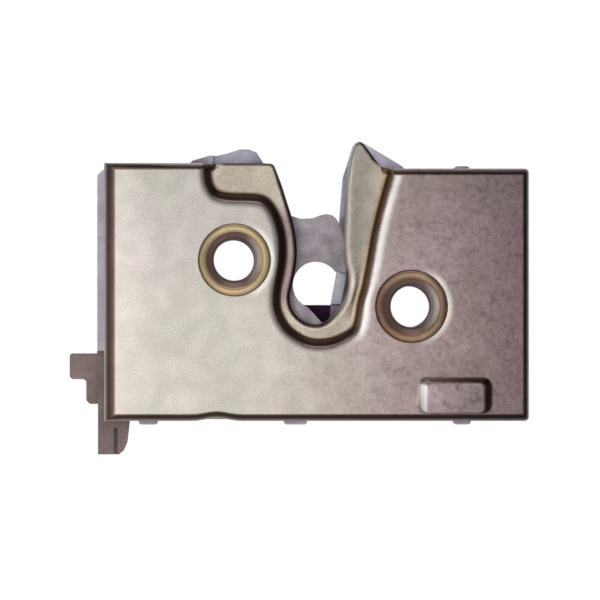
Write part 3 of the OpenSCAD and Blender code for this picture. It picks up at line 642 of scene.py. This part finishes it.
# %% [markdown]
# The mesh is one skin so far. It is scaled to metres, and a Solidify modifier gives it the
# thickness of the sheet, inwards from the outside face. Weighted normals keep the flats flat where
# they meet the bends.

# %% Give the cover its thickness
SHEET = 0.9
WELD = 0.001


def finished_piece(name, bm, materials):
    mesh = bpy.data.meshes.new(name)
    bm.to_mesh(mesh)
    bm.free()
    for material in materials:
        mesh.materials.append(material)
    mesh.shade_smooth()
    piece = bpy.data.objects.new(name, mesh)
    bpy.context.collection.objects.link(piece)
    print(name, len(mesh.polygons), "faces")
    return piece


bmesh.ops.remove_doubles(bm, verts=bm.verts[:], dist=WELD)
bmesh.ops.recalc_face_normals(bm, faces=bm.faces[:])
bmesh.ops.scale(bm, vec=(MM, MM, MM), verts=bm.verts[:])
cover = finished_piece("pressed_cover", bm, [yellow_zinc])
wall = cover.modifiers.new("Sheet", "SOLIDIFY")
wall.thickness = SHEET * MM
wall.offset = -1
cover.modifiers.new("Even shading", "WEIGHTED_NORMAL").weight = 100
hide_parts("front_cover")
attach(cover, "case")

# %% [markdown]
# The stamped and sintered pieces keep the shape they have in the construction, but a real edge is
# never razor sharp. Each is copied, its loose triangles are merged into whole faces, and its edges
# are bevelled by a few tenths of a millimetre, so that they catch a line of light. The rear plate's
# staked tabs, which stand out below and above the case, are rounded at their ends first.

# %% Stamped pieces with broken edges
FLAT, SHARP = radians(1), radians(30)
STAMPED_WELD = 0.002
TAB_ROUND = 0.65
TABS_BELOW, TABS_ABOVE, TOP_TABS_FROM = FLOOR - 0.3, TOP_RIGHT + 0.2, 15.5


def is_tab_end(edge):
    start, end = (vert.co / MM for vert in edge.verts)
    runs_back = abs(start.x - end.x) + abs(start.z - end.z) < 0.01
    below_case = start.z < TABS_BELOW
    above_case = start.z > TABS_ABOVE and start.x > TOP_TABS_FROM
    return runs_back and (below_case or above_case)


def break_edges(bm, edges, width_mm, segments):
    bmesh.ops.bevel(
        bm, geom=edges, offset=width_mm * MM, segments=segments, profile=0.5, affect="EDGES",
        clamp_overlap=True, material=-1)


def stamped(node_name, piece_name, body, material, width_mm, segments=2, tabs=False):
    bm = bmesh.new()
    bm.from_mesh(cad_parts[node_name].data)
    bmesh.ops.remove_doubles(bm, verts=bm.verts[:], dist=STAMPED_WELD * MM)
    bmesh.ops.dissolve_limit(bm, angle_limit=FLAT, verts=bm.verts[:], edges=bm.edges[:])
    if tabs:
        ends = [edge for edge in bm.edges if is_tab_end(edge)]
        break_edges(bm, ends, TAB_ROUND, 4)
        print("rounded tab ends:", len(ends))
    sharp = [edge for edge in bm.edges if len(edge.link_faces) == 2 and edge.calc_face_angle() > SHARP]
    break_edges(bm, sharp, width_mm, segments)
    piece = finished_piece(piece_name, bm, [material])
    piece.modifiers.new("Even shading", "WEIGHTED_NORMAL").weight = 100
    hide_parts(node_name)
    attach(piece, body)


stamped("fork_bolt", "sintered_fork", "fork", sintered, 0.25)
stamped("rear_plate", "stamped_rear_plate", "case", clear_zinc, 0.2, tabs=True)
stamped("striker_buffer", "moulded_buffer", "case", buffer_rubber, 0.2)

# %% [markdown]
# The pawl and the levers are all stamped from one kind of sheet, and the rivets and posts are all
# turned, so each kind needs only a short loop. A turned edge is rounder, in four segments.

# %% Levers and rivets
for name, body in (
        ("pawl", "pawl_arm"), ("transfer_lever", "transfer"), ("release_lever", "release"),
        ("lock_lever", "lock")):
    stamped(name, "stamped_" + name, body, brown_zinc, 0.25)
for name, body in (
        ("pawl_pin", "pawl_arm"), ("lever_pivot", "case"), ("lock_pivot", "case"),
        ("spring_anchor", "case"), ("spring_stud", "case")):
    stamped(name, "riveted_" + name, body, bright_steel, 0.35, segments=4)

# %% [markdown]
# The collar is gold zinc on one bush and copper on the other, and inside both are duller. The lamps
# alone don't shade a bush as the photograph shows it, so each finish is also shaded across: the
# collars are darker at both sides, and the insides run from dark at the left to light at the right.

# %% Finishes of the bushes
BUSH_REACH = 6.2


def turned_skin(name, node_name, tones, sides, speckle, metallic):
    material = finish(name, tones, speckle, metallic, (0.38, 0.46), grain_mm=0.2, drift_mm=6.0)
    tree, colour, axes = opened(material)
    x = bush_places[node_name][0]
    across_bush = share_of(tree, axes["X"], (x - BUSH_REACH) * MM, (x + BUSH_REACH) * MM, smooth=False)
    left, middle, right = sides
    shades = ramp(tree, across_bush, [(0.05, left), (0.35, middle), (0.65, middle), (0.95, right)])
    tree.links.new(mixed(tree, "MULTIPLY", 1.0, colour.links[0].from_socket, shades), colour)
    return material


gold_zinc = turned_skin(
    "gold_zinc", "fork_bush", [(0.47, 0.39, 0.20), (0.58, 0.41, 0.24)],
    [(0.42, 0.44, 0.40), (0.98, 0.92, 0.98), (0.60, 0.60, 0.52)], 0.16, 0.7)
copper_zinc = turned_skin(
    "copper_zinc", "pawl_bush", [(0.27, 0.155, 0.09), (0.37, 0.25, 0.17)],
    [(0.36, 0.27, 0.30), (1.0, 1.0, 1.0), (0.42, 0.40, 0.37)], 0.2, 0.7)
bare_tones = [(0.50, 0.43, 0.40), (0.66, 0.60, 0.58)]
bare_sides = [(0.22, 0.14, 0.12), (0.40, 0.30, 0.27), (1.55, 1.5, 1.45)]
left_bare = turned_skin("bare_steel_left", "fork_bush", bare_tones, bare_sides, 0.2, 0.55)
right_bare = turned_skin("bare_steel_right", "pawl_bush", bare_tones, bare_sides, 0.2, 0.55)

# %% [markdown]
# A bush is a turned piece, so one half profile spun round its axis makes it all: the rounded
# collar, the long lead-in to the thread, the thread's crests down the bore, and the riveted end.
# Each point of the profile is a radius and a depth in millimetres. The crests are rings and not a
# helix, which at this size looks the same.

# %% Turned bushes
CREST, THREAD_DEPTH, PITCH = 3.42, 0.35, 1.25
THREAD_FROM, TURNS = 1.9, 11
BARE_WITHIN, BARE_UP_TO = 4.67, 16.2
SPIN_STEPS, TURNED_SHARP = 72, radians(40)
thread = [(CREST + THREAD_DEPTH * (k % 2), THREAD_FROM + k * PITCH / 2) for k in range(2 * TURNS)]
bore = [
    (4.68, -0.5), (4.6, -0.4), (4.45, -0.24), (4.2, 0.0), (3.9, 0.28), (CREST + 0.2, 0.58),
    *thread, (CREST, 16.0), (4.4, 16.38)]
riveted_end = [(5.3, 16.38), (6.1, 15.75), (6.1, 15.46), (4.74, 15.4), (4.74, 14.0), (5.48, 13.95)]
collar = [
    (5.48, 0.5), (5.9, 0.05), (5.95, -0.28), (5.94, -0.42), (5.88, -0.54), (5.79, -0.62), (5.65, -0.67),
    (5.5, -0.69), (5.35, -0.7), (5.15, -0.69), (4.95, -0.67), (4.82, -0.62), (4.74, -0.56)]


def turned_bush(node_name, piece_name, plated, bare):
    x, z = bush_places[node_name]
    bm = bmesh.new()
    points = [Vector((x + radius, depth, z)) for radius, depth in bore + riveted_end + collar]
    profile = chain(bm, points, True)
    bmesh.ops.spin(
        bm, geom=profile + bm.edges[:], cent=(x, 0, z), axis=(0, 1, 0), angle=2 * pi, steps=SPIN_STEPS,
        use_merge=True)
    bmesh.ops.remove_doubles(bm, verts=bm.verts[:], dist=WELD)
    bmesh.ops.recalc_face_normals(bm, faces=bm.faces[:])
    for face in bm.faces:
        at = face.calc_center_median()
        from_axis = (Vector((at.x, 0, at.z)) - Vector((x, 0, z))).length
        face.material_index = 1 if from_axis < BARE_WITHIN and at.y < BARE_UP_TO else 0
    bmesh.ops.scale(bm, vec=(MM, MM, MM), verts=bm.verts[:])
    piece = finished_piece(piece_name, bm, [plated, bare])
    piece.data.set_sharp_from_angle(angle=TURNED_SHARP)
    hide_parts(node_name)
    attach(piece, "case")


turned_bush("fork_bush", "turned_fork_bush", gold_zinc, left_bare)
turned_bush("pawl_bush", "turned_pawl_bush", copper_zinc, right_bare)

# %% [markdown]
# The floor is a plain pale sheet. It lies below the picture, so that only the white of the studio
# shows round the lock.

# %% Floor
FLOOR_HALF, FLOOR_HEIGHT = 0.6, -0.075
bm = bmesh.new()
lowered = Matrix.Translation((0, 0, FLOOR_HEIGHT))
bmesh.ops.create_grid(bm, x_segments=1, y_segments=1, size=FLOOR_HALF, matrix=lowered)
floor_mesh = bpy.data.meshes.new("floor")
bm.to_mesh(floor_mesh)
bm.free()
floor = bpy.data.objects.new("floor", floor_mesh)
bpy.context.collection.objects.link(floor)
pale_floor = finish(
    "pale_floor", [(0.88, 0.88, 0.87), (0.91, 0.91, 0.90)], 0.02, 0.0, (0.6, 0.7),
    grain_mm=2.0, drift_mm=60.0)
floor_mesh.materials.append(pale_floor)

# %% [markdown]
# Five large soft boxes light the lock. The key and the left one stand at the left, where the
# photograph is lightest, and let the face grow darker to the right. The front one lifts the flats,
# the top one lights what faces up, and the right one keeps the right side from going black.

# %% Soft boxes


def softbox(name, place, target, size, power):
    lamp = bpy.data.lights.new(name, "AREA")
    lamp.shape = "RECTANGLE"
    lamp.size, lamp.size_y = size
    lamp.energy = power
    holder = bpy.data.objects.new(name, lamp)
    holder.location = place
    holder.rotation_euler = (Vector(target) - Vector(place)).to_track_quat("-Z", "Y").to_euler()
    bpy.context.collection.objects.link(holder)
    print("soft box:", name, power, "W")


softbox("key", (-0.45, -0.9, 0.0), (-0.01, 0, 0), (0.5, 0.4), 3.9)
softbox("left", (-1.0, -0.55, 0.1), (0, 0, 0), (0.5, 0.5), 1.8)
softbox("right", (0.9, -0.6, 0.2), (0, 0, 0), (0.6, 0.6), 1.0)
softbox("top", (0.0, -0.1, 1.1), (0, 0, 0), (0.9, 0.7), 5.0)
softbox("front", (0.1, -1.5, 0.0), (0, 0, 0), (0.4, 0.4), 2.6)
bpy.context.scene.view_settings.view_transform = "Standard"

# %% [markdown]
# The world is a white room, brighter behind the lock than in front of it, so that metal that faces
# the camera reflects something darker and its bends stand out. The camera itself sees plain white.

# %% White studio
world = bpy.data.worlds.new("studio")
bpy.context.scene.world = world
world.use_nodes = True
tree = world.node_tree
room = tree.nodes["Background"]
room.inputs["Color"].default_value = (0.94, 0.94, 0.96, 1)
towards = tree.nodes.new("ShaderNodeSeparateXYZ")
tree.links.new(tree.nodes.new("ShaderNodeTexCoord").outputs["Generated"], towards.inputs["Vector"])
behind = node(tree, "ShaderNodeMapRange", From_Min=-0.2, From_Max=0.6, To_Min=0.14, To_Max=0.9)
tree.links.new(towards.outputs["Y"], behind.inputs["Value"])
tree.links.new(behind.outputs["Result"], room.inputs["Strength"])
white = node(tree, "ShaderNodeBackground", Color=(1, 1, 1, 1), Strength=1.0)
choose = tree.nodes.new("ShaderNodeMixShader")
tree.links.new(tree.nodes.new("ShaderNodeLightPath").outputs["Is Camera Ray"], choose.inputs[0])
tree.links.new(room.outputs[0], choose.inputs[1])
tree.links.new(white.outputs[0], choose.inputs[2])
tree.links.new(choose.outputs[0], tree.nodes["World Output"].inputs["Surface"])
print("world:", world.name)

# %% [markdown]
# The photograph was taken nearly square on, from far away and a little to the left. The picture is
# 100 mm wide at the lock, and the lens follows from that width and the distance.

# %% Camera
DISTANCE, PICTURE_WIDTH = 1.4, 0.1
SENSOR = 36
lens = bpy.data.cameras.new("camera")
camera = bpy.data.objects.new("camera", lens)
bpy.context.collection.objects.link(camera)
bpy.context.scene.camera = camera
aim = Vector((-2.83 * MM, 0, -2.5 * MM))
camera.location = (-0.029, -DISTANCE, -0.008)
camera.rotation_euler = (aim - camera.location).to_track_quat("-Z", "Y").to_euler()
lens.sensor_width = SENSOR
lens.lens = SENSOR * DISTANCE / PICTURE_WIDTH
lens.clip_end = 20
print("lens:", round(lens.lens), "mm")
